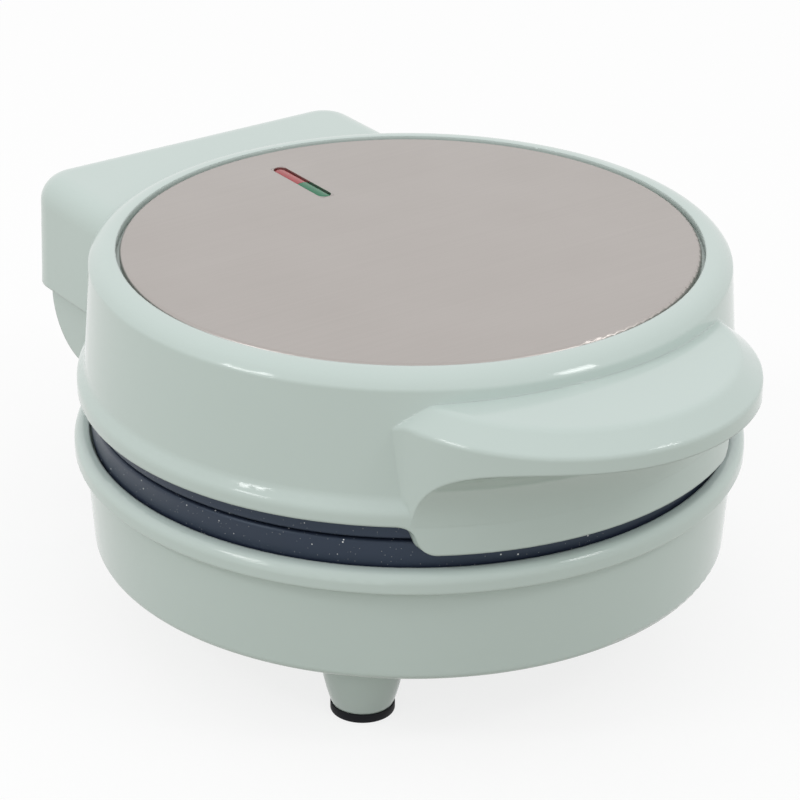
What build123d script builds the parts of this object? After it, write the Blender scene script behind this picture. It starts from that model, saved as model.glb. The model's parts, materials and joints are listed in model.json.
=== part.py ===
from build123d import *
import os
from math import asin, cos, radians, sin, sqrt, tan

# Round seven-ring doughnut maker: a clamshell of two cast plates in moulded housings.
# Frame: origin on the table under the round body's axis, handle to -Y, hinge to +Y, +Z up.

# Doughnut rings and the cast plates that hold them, mm
ring_r = 20.0
ring_tube_r = 10.5
ring_wall = 3.0
ring_gap = 4.5
outer_rings = 6
lower_face_z = 72.6
plate_gap = 0.6
plate_margin = 4.4
plate_deck = 3.0
plate_depth = 9.6
plate_skirt = 3.5
plate_edge_round = 1.1
plate_side_gap = 0.8
plate_end_gap = 1.0

# Heating elements, shields and what clamps them to the plates
element_w = 6.6
element_h = 6.6
element_belly_r = 3.2
element_arc = 330.0
element_groove = 4.0
element_seat_w = 11.0
terminal_r = 1.3
terminal_len = 14.0
boss_r = 4.0
boss_len = 25.8
shield_gap = 6.0
shield_t = 0.8
shield_rim = 5.0
column_r = 6.5
screw_r = 2.0
screw_head_r = 3.8
screw_head_h = 2.4
screw_land = 8.0
screw_grip = 10.0
screw_clear = 0.2
screw_angles = (30, 150, 270)
thermostat_gap = 0.5
thermostat_h = 11.0
fuse_angle = 90
fuse_post_r = 3.0
fuse_post_len = 12.0
fuse_r = 2.2
fuse_len = 18.0

# Tub of the base, stepped out from the room that the plate needs
wall = 2.6
floor_z = 26.0
tub_step = 1.5
tub_draft = 2.1
tub_edge_round = 2.5
lip_overhang = 3.3
lip_drop = 8.1
lip_h = 6.9
lip_round = 3.3
lip_under_round = 1.0

# Feet
foot_x = 52.6
foot_front_y = -50.6
foot_rear_y = 66.0
foot_r = 9.6
foot_top_r = 13.2
foot_belly = 1.2
pad_h = 3.0
pad_edge = 0.3
pad_round = 0.6
pad_stem_r = 4.0
pad_stem_len = 6.0

# Lid drum and steel top
drum_lift = 6.15
drum_lip_h = 2.6
drum_step = 0.7
drum_flare = 2.6
drum_flare_h = 8.65
drum_draft = 2.3
drum_h = 40.85
shoulder_run = 7.0
shoulder_rise = 4.0
shoulder_round = 1.5
rim_land = 1.5
disc_gap = 1.2
disc_drop = 0.3
disc_skirt = 2.5
disc_round = 1.2
disc_t = 0.8
deck_t = 2.5

# Handle and its apron
handle_inset = 25.6
handle_r = 61.0
handle_edge_drop = 14.2
handle_edge_round = 1.5
handle_crest_run = 7.0
handle_crest_drop = 8.2
handle_crest_round = 4.0
handle_root_drop = 5.8
handle_blend = 16.0
apron_drop = 9.35
apron_half_w = 56.8
apron_slant = 3.0
apron_corner = 5.0
apron_shoulder = 5.0
cove_lead = 1.6
cove_r = 27.25

# Hinge box on the lid and hinge block on the base
box_half_w = 62.4
box_reach = 31.0
box_lift = 1.05
box_drop = 6.4
box_corner = 14.0
box_round = 9.0
box_taper = 1.7
box_heel_y = 7.2
box_heel_z = 4.2
box_heel_round = 5.0
hinge_inset = 2.0
hinge_rise = 4.8
knuckle_r = 20.0
knuckle_rise = 1.5
knuckle_slope = 7.0
ear_boss_r = 8.0
ear_w = 9.7
ear_side_gap = 0.9
lug_w = 6.4
lug_gap = 0.6
lug_boss_r = 7.5
lug_rib_t = 4.0
pin_r = 3.0
pin_clear = 0.05
pin_head_r = 4.6
pin_head_t = 1.6
pin_bite = 7.5

# Indicator window
slot_y = 61.0
slot_len = 30.5
slot_w = 5.0
slot_round = 1.0
lens_gap = 0.1
lens_drop = 1.0
lens_flange_t = 1.5
lens_flange_edge = 1.8
holder_w = 15.0
holder_t = 2.0
holder_ear = 7.0
holder_screw_r = 1.2
lamp_r = 2.5
lamp_len = 13.0
lamp_tip_r = 2.0
lamp_tip_gap = 0.5

# Cord wrap and gland at the back of the base
wrap_half_w = 61.0
wrap_rear_y = 107.0
wrap_t = 3.0
wrap_z = 15.0
wrap_h = 25.0
wrap_corner = 5.0
wrap_neck_half_w = 30.0
wrap_neck_h = 9.0
wrap_screw_x = 18.0
wrap_screw_len = 18.0
wrap_boss_len = 8.0
gland_angle = 62.0
gland_rise = 11.0
gland_r = 5.0
gland_bore_r = 3.6
gland_flange_r = 6.5
gland_flange_t = 2.0

# Radii worked outwards from the rings
bulge_r = ring_tube_r + ring_wall
thermostat_r = ring_r - bulge_r - thermostat_gap
ring_pitch_r = 2 * (ring_r + ring_tube_r) + ring_gap
boss_ring_r = ring_pitch_r / sqrt(3)
plate_r = ring_pitch_r + ring_r + ring_tube_r + plate_margin
lip_inner_r = plate_r + plate_side_gap
tub_top_r = lip_inner_r + tub_step
tub_bottom_r = tub_top_r - tub_draft
lip_r = tub_top_r + lip_overhang
shield_r = tub_bottom_r - wall - shield_gap
drum_waist_r = lip_inner_r + drum_step
drum_lip_r = drum_waist_r + drum_flare
drum_shoulder_r = drum_waist_r - drum_draft
rim_r = drum_shoulder_r - shoulder_run
deck_r = rim_r - rim_land
disc_r = deck_r - disc_gap
handle_y = handle_inset - drum_shoulder_r
handle_crest_r = handle_r - handle_crest_run
apron_r = drum_lip_r
apron_inner_r = apron_r - wall
hinge_y = lip_r - hinge_inset
box_rear_y = hinge_y + box_reach

# Heights worked up and down from the cooking faces
upper_face_z = lower_face_z + plate_gap
ledge_z = lower_face_z - plate_depth - plate_end_gap
pocket_z = upper_face_z + plate_depth + plate_end_gap
seat_depth = bulge_r + element_groove - ring_wall / 4
column_z = lower_face_z - boss_len - shield_t
upper_column_z = upper_face_z + boss_len + shield_t
lip_top_z = lower_face_z - lip_drop
lip_z = lip_top_z - lip_h
drum_bottom_z = upper_face_z + drum_lift
drum_waist_z = drum_bottom_z + drum_flare_h
drum_shoulder_z = drum_bottom_z + drum_h
rim_z = drum_shoulder_z + shoulder_rise
disc_top_z = rim_z - disc_drop
deck_z = disc_top_z - disc_skirt
under_deck = deck_z - deck_t
handle_edge_z = rim_z - handle_edge_drop
handle_crest_z = rim_z - handle_crest_drop
handle_root_z = rim_z - handle_root_drop
apron_z = drum_bottom_z - apron_drop
cove_z = drum_bottom_z - cove_lead
hinge_z = upper_face_z + hinge_rise
box_bottom_z = drum_bottom_z + box_lift
box_top_z = rim_z - box_drop
gland_z = floor_z + gland_rise

# Widths across the hinge
ear_out = box_half_w - wall - ear_side_gap
ear_in = ear_out - ear_w
lug_out = ear_in - lug_gap
lug_in = lug_out - lug_w

# Longer than anything here, for cutting bodies
big = 400.0


def outline(*corners):
    """Closed flat outline from (x, y) corners, each with an optional rounding radius."""
    points = [corner[:2] for corner in corners]
    radii = [corner[2] if len(corner) > 2 else 0 for corner in corners]
    return make_face(FilletPolyline(*points, radius=radii, close=True))


def turned(*corners):
    """Solid of revolution about Z from a half outline of (radius, height) corners."""
    return revolve(Plane.XZ * outline(*corners), Axis.Z)


def side_profile(*corners, half_width):
    """Outline drawn from the side, (y, z), and run across the width."""
    return extrude(Plane.YZ * outline(*corners), half_width, both=True)


def rod(radius, start, end):
    """Round bar between two points."""
    run = Vector(end) - Vector(start)
    return Plane(origin=start, z_dir=run) * extrude(Circle(radius), run.length)


def bar(radius, z_low, z_high, x=0.0, y=0.0):
    """Upright round bar."""
    return rod(radius, (x, y, z_low), (x, y, z_high))


def around(angle, radius, z=0.0):
    """Place at an angle and radius about the body's axis, turned outwards."""
    return Rot(0, 0, angle) * Pos(radius, 0, z)


def both_sides(piece):
    """A piece and its mirror image across the centre plane."""
    return piece + mirror(piece, about=Plane.YZ)


# Cooking plates, drawn with the cooking face at z = 0 and the body below it


def ring_places():
    """Centres of the doughnut rings: one in the middle and the rest around it."""
    step = 360 / outer_rings
    return [Pos(0, 0, 0)] + [around(step * n, ring_pitch_r) for n in range(outer_rings)]


def half_ring(tube_r):
    """Half doughnut hanging below z = 0."""
    arc = ThreePointArc((ring_r - tube_r, 0), (ring_r, -tube_r), (ring_r + tube_r, 0))
    lid = Line((ring_r + tube_r, 0), (ring_r - tube_r, 0))
    return revolve(Plane.XZ * make_face([arc, lid]), Axis.Z)


def element_section(depth_top, depth_bottom):
    """Half outline of the heating element's round-bellied bar."""
    left = ring_pitch_r - element_w / 2
    right = ring_pitch_r + element_w / 2
    return outline(
        (left, -depth_top), (right, -depth_top),
        (right, -depth_bottom, element_belly_r), (left, -depth_bottom, element_belly_r),
    )


def cooking_plate():
    """Cast plate with skirt, ring cavities, element seat and screw bosses."""
    inner_r = plate_r - plate_skirt
    plate = turned(
        (0, 0), (plate_r, 0, plate_edge_round), (plate_r, -plate_depth),
        (inner_r, -plate_depth), (inner_r, -plate_deck), (0, -plate_deck),
    )
    seat_in = ring_pitch_r - element_seat_w / 2
    seat_out = ring_pitch_r + element_seat_w / 2
    plate += turned(
        (seat_in, -plate_deck / 2), (seat_out, -plate_deck / 2),
        (seat_out, -seat_depth), (seat_in, -seat_depth),
    )
    plate += [place * half_ring(bulge_r) for place in ring_places()]
    plate += [around(a, boss_ring_r) * bar(boss_r, -boss_len, -plate_deck / 2) for a in screw_angles]
    plate -= [place * half_ring(ring_tube_r) for place in ring_places()]
    groove_top = seat_depth - element_groove
    groove_in = ring_pitch_r - element_w / 2
    groove_out = ring_pitch_r + element_w / 2
    plate -= turned(
        (groove_in, -groove_top), (groove_out, -groove_top),
        (groove_out, -seat_depth - 1), (groove_in, -seat_depth - 1),
    )
    screw_tip = boss_len - screw_grip
    plate -= [around(a, boss_ring_r) * bar(screw_r, -boss_len - 1, -screw_tip) for a in screw_angles]
    return plate


def heating_element():
    """Sheathed heater bent to an open ring, with a round terminal on each end."""
    top = seat_depth - element_groove
    ring = revolve(Plane.XZ * element_section(top, top + element_h), Axis.Z, revolution_arc=element_arc)
    middle = -top - element_h / 2
    first = rod(terminal_r, (ring_pitch_r, 0, middle), (ring_pitch_r, -terminal_len / 2, middle))
    last = Rot(0, 0, element_arc) * mirror(first, about=Plane.XZ)
    return Rot(0, 0, element_arc / 2) * (ring + first + last)


def heat_shield():
    """Thin dish clamped under the plate's screw bosses, its rim turned towards the plate."""
    top = -boss_len
    inner_r = shield_r - shield_t
    dish = turned(
        (0, top - shield_t), (shield_r, top - shield_t, 2 * shield_t), (shield_r, top + shield_rim),
        (inner_r, top + shield_rim), (inner_r, top, shield_t), (0, top),
    )
    hole = bar(screw_r + screw_clear, top - 2 * shield_t, top + shield_t)
    return dish - [around(a, boss_ring_r) * hole for a in screw_angles]


def plate_screws():
    """Pan-head screws that come through the columns and shield into the plate."""
    seat = -boss_len - shield_t - screw_land
    tip = -boss_len + screw_grip - screw_clear
    screw = bar(screw_r, seat, tip) + bar(screw_head_r, seat - screw_head_h, seat)
    return Compound([around(a, boss_ring_r) * screw for a in screw_angles])


def screw_column(z_low, z_high):
    """Moulded column that carries the plate, standing from z_low up to its clamping face."""
    return Part() + [around(a, boss_ring_r) * bar(column_r, z_low, z_high) for a in screw_angles]


def screw_well(z_open, z_clamp):
    """Room for a screw and its driver, from the open side to the clamping face."""
    seat = z_clamp - screw_land
    well = bar(screw_head_r + screw_clear, z_open, seat)
    well += bar(screw_r + screw_clear, seat - 1, z_clamp + 1)
    return Part() + [around(a, boss_ring_r) * well for a in screw_angles]


def lower(piece):
    """Set a plate-frame piece in the base."""
    return Pos(0, 0, lower_face_z) * piece


def upper(piece):
    """Set a plate-frame piece upside down in the lid."""
    return Pos(0, 0, upper_face_z) * mirror(piece, about=Plane.XY)


# Base


def tub_outer():
    """Outer form of the round tub with its overhanging lip."""
    return turned(
        (0, floor_z), (tub_bottom_r, floor_z, tub_edge_round), (tub_top_r, lip_z),
        (lip_r, lip_z, lip_under_round), (lip_r, lip_top_z, lip_round), (0, lip_top_z),
    )


def tub_inner():
    """Room inside the tub, stepped out at the lip for the plate's skirt."""
    return turned(
        (0, floor_z + wall), (tub_bottom_r - wall, floor_z + wall, tub_edge_round),
        (tub_top_r - wall, ledge_z), (lip_inner_r, ledge_z), (lip_inner_r, big), (0, big),
    )


def foot_places():
    """Names and places of the four feet."""
    return {
        "front_left": (-foot_x, foot_front_y),
        "front_right": (foot_x, foot_front_y),
        "rear_left": (-foot_x, foot_rear_y),
        "rear_right": (foot_x, foot_rear_y),
    }


def foot_post():
    """Tapered foot with a slight belly and a socket for its rubber pad."""
    top_z = floor_z + wall / 2
    mid = ((foot_r + foot_top_r) / 2 + foot_belly, (pad_h + top_z) / 2)
    flank = ThreePointArc((foot_r, pad_h), mid, (foot_top_r, top_z))
    rest = Polyline((foot_top_r, top_z), (0, top_z), (0, pad_h), (foot_r, pad_h))
    post = revolve(Plane.XZ * make_face([flank, rest]), Axis.Z)
    return post - bar(pad_stem_r, 0, pad_h + pad_stem_len)


def foot_pad():
    """Rubber pad with a stem that plugs into the foot."""
    pad_r = foot_r + pad_edge
    disc = turned((0, 0), (pad_r, 0, pad_round), (pad_r, pad_h), (0, pad_h))
    return disc + bar(pad_stem_r, pad_h / 2, pad_h + pad_stem_len)


def knuckle_path(radius, front_y):
    """Points of the hinge block's round back at one radius: front, tangent point and top."""
    slope = radians(knuckle_slope)
    tangent = (hinge_y + radius * sin(slope), hinge_z - radius * cos(slope))
    front = (front_y, tangent[1] - (tangent[0] - front_y) * tan(slope))
    middle = (hinge_y + radius * cos(radians(45)), hinge_z - radius * sin(radians(45)))
    return front, tangent, middle, (hinge_y + radius, hinge_z)


def hinge_block():
    """Rear block of the base: a rounded back wall between two ears that hold the pins."""
    front_y = hinge_y - knuckle_r
    top_z = hinge_z + knuckle_rise
    front, tangent, middle, back = knuckle_path(knuckle_r, front_y)
    skin = [Line(front, tangent), ThreePointArc(tangent, middle, back), Line(back, (back[0], top_z))]
    filled = make_face(skin + [Polyline((back[0], top_z), (front_y, top_z), front)])
    front, tangent, middle, back = knuckle_path(knuckle_r - wall, front_y)
    hollow = make_face([
        Line(front, tangent), ThreePointArc(tangent, middle, back), Line(back, (back[0], big)),
        Polyline((back[0], big), (front_y, big), front),
    ])
    block = extrude(Plane.YZ * filled, ear_out, both=True)
    ear_boss = rod(ear_boss_r, (ear_in, hinge_y, hinge_z), (ear_out, hinge_y, hinge_z))
    block = block - extrude(Plane.YZ * hollow, ear_in, both=True) + both_sides(ear_boss)
    bore = rod(pin_r, (0, hinge_y, hinge_z), (ear_in + pin_bite, hinge_y, hinge_z))
    return block - tub_inner() - both_sides(bore)


def wrap_screw_places():
    """Screw axes of the cord wrap, as (x, z) pairs."""
    z = floor_z + wall + wrap_neck_h / 2
    return [(side * wrap_screw_x, z) for side in (-1, 1)]


def gland_place():
    """Frame at the gland: local Z points out through the tub's wall."""
    wall_r = tub_bottom_r + tub_draft * (gland_z - floor_z) / (lip_z - floor_z)
    return around(gland_angle, wall_r, gland_z) * Rot(0, 90, 0)


def lower_housing():
    """Base moulding: tub, feet, plate columns and hinge block."""
    tub = tub_outer() - tub_inner()
    tub += [Pos(x, y, 0) * foot_post() for x, y in foot_places().values()]
    tub += screw_column(floor_z + wall / 2, column_z)
    tub += hinge_block()
    wrap_bosses = Part() + [
        rod(screw_head_r + screw_clear, (x, tub_bottom_r - wall - wrap_boss_len, z), (x, wrap_rear_y, z))
        for x, z in wrap_screw_places()
    ]
    tub += wrap_bosses & tub_outer()
    tub -= screw_well(floor_z - 1, column_z)
    tub -= cord_wrap_screws()
    tub -= gland_place() * extrude(Circle(gland_r), 3 * wall, both=True)
    return tub


def thermostat():
    """Thermostat on the plate's underside, in the well of the middle ring."""
    body = bar(thermostat_r, -plate_deck - thermostat_h, -plate_deck)
    tab = Box(4 * terminal_r, terminal_r, terminal_len / 2)
    tabs = Pos(0, 0, -plate_deck - thermostat_h) * both_sides(Pos(thermostat_r / 2, 0, 0) * tab)
    return body + tabs


def thermal_fuse():
    """Fuse case on a post under the plate."""
    post = bar(fuse_post_r, -plate_deck - fuse_post_len, -plate_deck)
    case_z = -plate_deck - fuse_post_len
    case = rod(fuse_r, (-fuse_len / 2, 0, case_z), (fuse_len / 2, 0, case_z))
    return around(fuse_angle, boss_ring_r) * (post + case)


def cord_wrap():
    """Bracket behind the base for winding the lead: a broad plate on a neck."""
    plate = extrude(
        Plane.XZ * outline(
            (-wrap_half_w, wrap_z, wrap_corner), (wrap_half_w, wrap_z, wrap_corner),
            (wrap_half_w, wrap_z + wrap_h, wrap_corner), (-wrap_half_w, wrap_z + wrap_h, wrap_corner),
        ),
        -wrap_t,
    )
    plate = Pos(0, wrap_rear_y - wrap_t, 0) * plate
    neck_z = floor_z + wall + wrap_neck_h / 2
    neck_len = wrap_rear_y - wrap_t / 2
    neck = Pos(0, neck_len / 2, neck_z) * Box(2 * wrap_neck_half_w, neck_len, wrap_neck_h)
    bracket = plate + neck - tub_outer()
    return bracket - cord_wrap_screws(screw_clear)


def cord_wrap_screws(room=0.0):
    """Two screws through the wrap's neck into the tub wall, or the room they need."""
    tip = wrap_rear_y - wrap_screw_len
    seat = wrap_rear_y - screw_head_h
    screws = []
    for x, z in wrap_screw_places():
        shank = rod(screw_r + room, (x, tip, z), (x, seat, z))
        head = rod(screw_head_r + room, (x, seat, z), (x, wrap_rear_y, z))
        screws.append(shank + head)
    return Compound(screws)


def cord_gland():
    """Bushing in the tub's wall where the lead comes out."""
    flange = extrude(Circle(gland_flange_r), gland_flange_t)
    sleeve = extrude(Circle(gland_r), -2 * wall)
    holed_tub = tub_outer() - gland_place() * extrude(Circle(gland_r), 3 * wall, both=True)
    bush = gland_place() * (flange + sleeve) - holed_tub
    return bush - gland_place() * extrude(Circle(gland_bore_r), gland_flange_t + 2 * wall, both=True)


def hinge_pin():
    """Headed pin: free in the lid's lug, pressed into the base's ear."""
    head_in = lug_in - lug_gap / 2
    head = rod(pin_head_r, (head_in - pin_head_t, hinge_y, hinge_z), (head_in, hinge_y, hinge_z))
    shank = rod(pin_r, (lug_in - lug_gap, hinge_y, hinge_z), (ear_in + pin_bite, hinge_y, hinge_z))
    return head + shank


# Lid


def drum_outer():
    """Outer form of the lid's drum: flared lip, drafted wall and a shoulder rounded up to the rim."""
    lip = (drum_lip_r, drum_bottom_z + drum_lip_h)
    waist = (drum_waist_r, drum_waist_z)
    shoulder = (drum_shoulder_r, drum_shoulder_z)
    rim = (rim_r, rim_z)
    draft = Vector(*shoulder) - Vector(*waist)
    crown_r = (shoulder_run**2 + shoulder_rise**2) / (2 * shoulder_rise)
    half_turn = asin(shoulder_run / crown_r) / 2
    crown = (rim_r + crown_r * sin(half_turn), rim_z - crown_r + crown_r * cos(half_turn))
    edges = [
        Spline(lip, waist, tangents=[(0, 1), draft.normalized()]),
        Line(waist, shoulder),
        ThreePointArc(shoulder, crown, rim),
        Polyline(rim, (0, rim_z), (0, drum_bottom_z), (drum_lip_r, drum_bottom_z), lip),
    ]
    section = make_face(edges)
    corner = section.vertices().sort_by_distance((*shoulder, 0))[0]
    return revolve(Plane.XZ * fillet(corner, shoulder_round), Axis.Z)


def drum_inner():
    """Room inside the drum under the deck."""
    slope = drum_draft / (drum_shoulder_z - drum_waist_z)
    roof_r = drum_shoulder_r - wall + slope * (drum_shoulder_z - under_deck)
    return turned(
        (0, -1), (lip_inner_r, -1), (lip_inner_r, pocket_z), (drum_waist_r - wall, drum_waist_z),
        (roof_r, under_deck, wall), (0, under_deck),
    )


def handle_round_centre():
    """Centre of the round that blends the handle's right side into the drum, in plan."""
    to_drum = drum_shoulder_r + handle_blend
    to_handle = handle_r + handle_blend
    y = (to_drum**2 - to_handle**2 + handle_y**2) / (2 * handle_y)
    return sqrt(to_drum**2 - y**2), y


def handle_form(inset, top_drop):
    """Handle block in plan and crown, drawn in from its outer faces by the given amounts."""
    round_x, round_y = handle_round_centre()
    web = make_face(Polyline((0, 0), (round_x, round_y), (0, handle_y), (-round_x, round_y), close=True))
    plan = Pos(0, handle_y) * Circle(handle_r - inset) + Circle(drum_shoulder_r - inset) + web
    plan -= [Pos(side * round_x, round_y) * Circle(handle_blend + inset) for side in (-1, 1)]
    block = extrude(plan, rim_z)
    reach = 2 * handle_r
    fall = (handle_crest_z - handle_edge_z) / (handle_r - handle_crest_r)
    crown = turned(
        (0, 0), (reach, 0), (reach, handle_crest_z - fall * (reach - handle_crest_r)),
        (handle_crest_r, handle_crest_z, handle_crest_round), (0, handle_root_z),
    )
    zone = Pos(0, handle_y - handle_r, 0) * Box(big, 2 * handle_r, big)
    return block & (Pos(0, handle_y, -top_drop) * crown) & zone


def cove(shift):
    """Body under which fingers reach: round below, sweeping out to the handle's underside."""
    inner_r = apron_r - shift
    sweep = cove_r + shift
    centre_r = apron_r + cove_r
    start = (inner_r, cove_z)
    middle = (centre_r - sweep * cos(radians(45)), cove_z + sweep * sin(radians(45)))
    end = (centre_r, cove_z + sweep)
    edges = [
        Polyline((0, 0), (inner_r, 0), start),
        ThreePointArc(start, middle, end),
        Polyline(end, (big, cove_z + sweep), (big, big), (0, big), (0, 0)),
    ]
    return revolve(Plane.XZ * make_face(edges), Axis.Z)


def apron():
    """Curved skirt below the handle that covers the plates' edges at the front."""
    root_z = drum_bottom_z + drum_lip_h / 2
    top_half_w = apron_half_w + apron_slant
    end_half_w = top_half_w + 2 * apron_shoulder
    shape = outline(
        (-end_half_w, drum_bottom_z), (-top_half_w, drum_bottom_z, apron_shoulder),
        (-apron_half_w, apron_z, apron_corner), (apron_half_w, apron_z, apron_corner),
        (top_half_w, drum_bottom_z, apron_shoulder), (end_half_w, drum_bottom_z),
        (end_half_w, root_z), (-end_half_w, root_z),
    )
    screen = extrude(Plane.XZ * shape, big)
    return screen & bar(apron_r, 0, root_z) - bar(apron_inner_r, 0, big)


def handle_outer():
    """Outer form of the handle, its front edge eased, down to the drum's lower edge."""
    form = handle_form(0, 0)
    lowest = handle_edge_z - handle_crest_run
    front_edges = [
        edge for edge in form.edges()
        if lowest < edge.center().Z < handle_edge_z + handle_edge_round and edge.center().Y < handle_y - 0.1
    ]
    above = Pos(0, 0, drum_bottom_z + big / 2) * Box(big, big, big)
    return fillet(front_edges, handle_edge_round) & cove(0) & above


def handle_inner():
    """Room inside the handle."""
    return handle_form(wall, wall) & cove(wall)


def hinge_box(inset, bottom_z):
    """Hinge box with drafted sides and a rounded top, drawn in by the given amount."""
    draft = (box_bottom_z - bottom_z) * tan(radians(box_taper))
    half = box_half_w - inset + draft
    rear = box_rear_y - inset + draft
    round_r = box_corner - inset + draft
    plan = outline((-half, 0), (half, 0), (half, rear, round_r), (-half, rear, round_r))
    block = Pos(0, 0, bottom_z) * extrude(plan, box_top_z - inset - bottom_z, taper=box_taper)
    top = block.faces().sort_by(Axis.Z)[-1]
    return fillet(top.edges(), box_round - inset)


def box_outer():
    """Outer form of the hinge box, its lower rear edge cut back to swing past the base."""
    heel = side_profile(
        (0, box_bottom_z), (box_rear_y - box_heel_y, box_bottom_z, box_heel_round),
        (box_rear_y, box_bottom_z + box_heel_z, box_heel_round), (box_rear_y, big), (0, big), half_width=big,
    )
    return hinge_box(0, box_bottom_z) & heel


def hinge_lug():
    """Rib from the box roof with a boss that turns on the hinge pin."""
    rib_front = hinge_y - lug_boss_r - lug_rib_t / 2
    roof_z = box_top_z - wall / 2
    rib_rear = rib_front + lug_rib_t
    rib = side_profile(
        (rib_front, hinge_z - lug_boss_r / 2), (hinge_y, hinge_z - lug_boss_r / 2),
        (hinge_y, hinge_z + lug_boss_r), (rib_rear, hinge_z + lug_boss_r, lug_rib_t),
        (rib_rear, roof_z), (rib_front, roof_z), half_width=lug_w / 2,
    )
    boss = rod(lug_boss_r, (-lug_w / 2, hinge_y, hinge_z), (lug_w / 2, hinge_y, hinge_z))
    bore = rod(pin_r + pin_clear, (-lug_w, hinge_y, hinge_z), (lug_w, hinge_y, hinge_z))
    return Pos(lug_in + lug_w / 2, 0, 0) * (rib + boss - bore)


def holder_screw_places():
    """Ends of the lamp holder where its screws go."""
    reach = slot_len / 2 + holder_ear / 2 + lens_flange_edge
    return [(0, slot_y + side * reach) for side in (-1, 1)]


def window(clearance, z_low, z_high):
    """Indicator window through the top, less a clearance all round."""
    shape = RectangleRounded(slot_w - 2 * clearance, slot_len - 2 * clearance, slot_round)
    return Pos(0, slot_y, z_low) * extrude(shape, z_high - z_low)


def upper_housing():
    """Lid moulding: drum, handle with apron, hinge box, plate columns and hinge lugs."""
    outer = drum_outer() + handle_outer() + box_outer()
    hollow = drum_inner() + handle_inner() + hinge_box(wall, drum_bottom_z - 1)
    shell = outer - hollow - bar(deck_r, deck_z, rim_z + 1) + apron()
    in_deck = under_deck + deck_t / 2
    shell += screw_column(upper_column_z, in_deck)
    shell += both_sides(hinge_lug())
    for x, y in holder_screw_places():
        shell += bar(holder_ear / 2, under_deck - lens_flange_t, in_deck, x, y)
        shell -= bar(holder_screw_r, under_deck - 2 * lens_flange_t, in_deck, x, y)
    return shell - upper(upper_wells()) - window(0, under_deck - 1, rim_z)


def upper_wells():
    """Screw wells of the lid's columns, in the plate's own frame."""
    return screw_well(-(deck_z + 1 - upper_face_z), -boss_len - shield_t)


def top_plate():
    """Brushed steel disc with its edge rolled down to the deck and the indicator window."""
    inner_r = disc_r - disc_t
    under_z = disc_top_z - disc_t
    disc = turned(
        (0, disc_top_z), (disc_r, disc_top_z, disc_round), (disc_r, deck_z),
        (inner_r, deck_z), (inner_r, under_z, disc_round - disc_t), (0, under_z),
    )
    return disc - window(0, deck_z - 1, rim_z + 1)


def lens(side):
    """Half of the indicator window: a clear block with a flange behind the deck."""
    top_z = disc_top_z - lens_drop
    y_mid = slot_y + side * slot_len / 4
    half_len = slot_len / 2 - 2 * lens_gap
    half = Pos(0, y_mid, 0) * Box(big, half_len, big)
    end_half = Pos(0, y_mid + side * lens_flange_edge / 2, 0) * Box(big, half_len + lens_flange_edge, big)
    block = window(lens_gap, under_deck - lens_flange_t, top_z) & half
    flange = window(-lens_flange_edge, under_deck - lens_flange_t, under_deck) & end_half
    return block + flange


def lamp_holder():
    """Strip under the lenses that holds the two lamps."""
    top_z = under_deck - lens_flange_t
    length = slot_len + 2 * holder_ear + 2 * lens_flange_edge
    shape = RectangleRounded(holder_w, length, holder_ear / 2)
    strip = Pos(0, slot_y, top_z - holder_t) * extrude(shape, holder_t)
    strip -= [bar(lamp_r, 0, top_z + 1, 0, slot_y + side * slot_len / 4) for side in (-1, 1)]
    return strip - [bar(holder_screw_r + screw_clear, 0, top_z + 1, x, y) for x, y in holder_screw_places()]


def lamp_holder_screws():
    """Two small screws from the holder into the deck."""
    seat = under_deck - lens_flange_t - holder_t
    tip = seat + holder_t + lens_flange_t
    screws = []
    for x, y in holder_screw_places():
        head = bar(2 * holder_screw_r, seat - holder_screw_r, seat, x, y)
        screws.append(head + bar(holder_screw_r, seat, tip, x, y))
    return Compound(screws)


def lamp(side):
    """Neon lamp with a domed tip, standing in the holder."""
    top_z = under_deck - lens_flange_t - lamp_tip_gap
    y = slot_y + side * slot_len / 4
    bulb = turned((0, top_z - lamp_len), (lamp_r, top_z - lamp_len), (lamp_r, top_z, lamp_tip_r), (0, top_z))
    return Pos(0, y, 0) * bulb


pieces = {
    "lower_housing": lower_housing(),
    "lower_cooking_plate": lower(cooking_plate()),
    "lower_heating_element": lower(heating_element()),
    "lower_heat_shield": lower(heat_shield()),
    "lower_plate_screws": lower(plate_screws()),
    "thermostat": lower(thermostat()),
    "thermal_fuse": lower(thermal_fuse()),
    "cord_wrap": cord_wrap(),
    "cord_wrap_screws": cord_wrap_screws(),
    "cord_gland": cord_gland(),
    "hinge_pin_right": hinge_pin(),
    "hinge_pin_left": mirror(hinge_pin(), about=Plane.YZ),
    "upper_housing": upper_housing(),
    "top_plate": top_plate(),
    "upper_cooking_plate": upper(cooking_plate()),
    "upper_heating_element": upper(heating_element()),
    "upper_heat_shield": upper(heat_shield()),
    "upper_plate_screws": upper(plate_screws()),
    "red_lens": lens(1),
    "green_lens": lens(-1),
    "lamp_holder": lamp_holder(),
    "lamp_holder_screws": lamp_holder_screws(),
    "red_lamp": lamp(1),
    "green_lamp": lamp(-1),
}
for foot_name, (foot_px, foot_py) in foot_places().items():
    pieces[f"foot_pad_{foot_name}"] = Pos(foot_px, foot_py, 0) * foot_pad()

os.makedirs("parts", exist_ok=True)
for name, piece in pieces.items():
    export_step(piece, f"parts/{name}.step")
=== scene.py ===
"""Looks of a seven-ring doughnut maker: finishes, small fittings, studio light and camera.

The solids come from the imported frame. Every sub-assembly below dresses its own solids, and
adds the small fittings that are modelled here as meshes.
"""
from __future__ import annotations

import json
import logging
import math
from dataclasses import dataclass, field
from enum import Enum
from typing import Any

import bmesh
import bpy
from mathutils import Matrix, Vector

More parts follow.
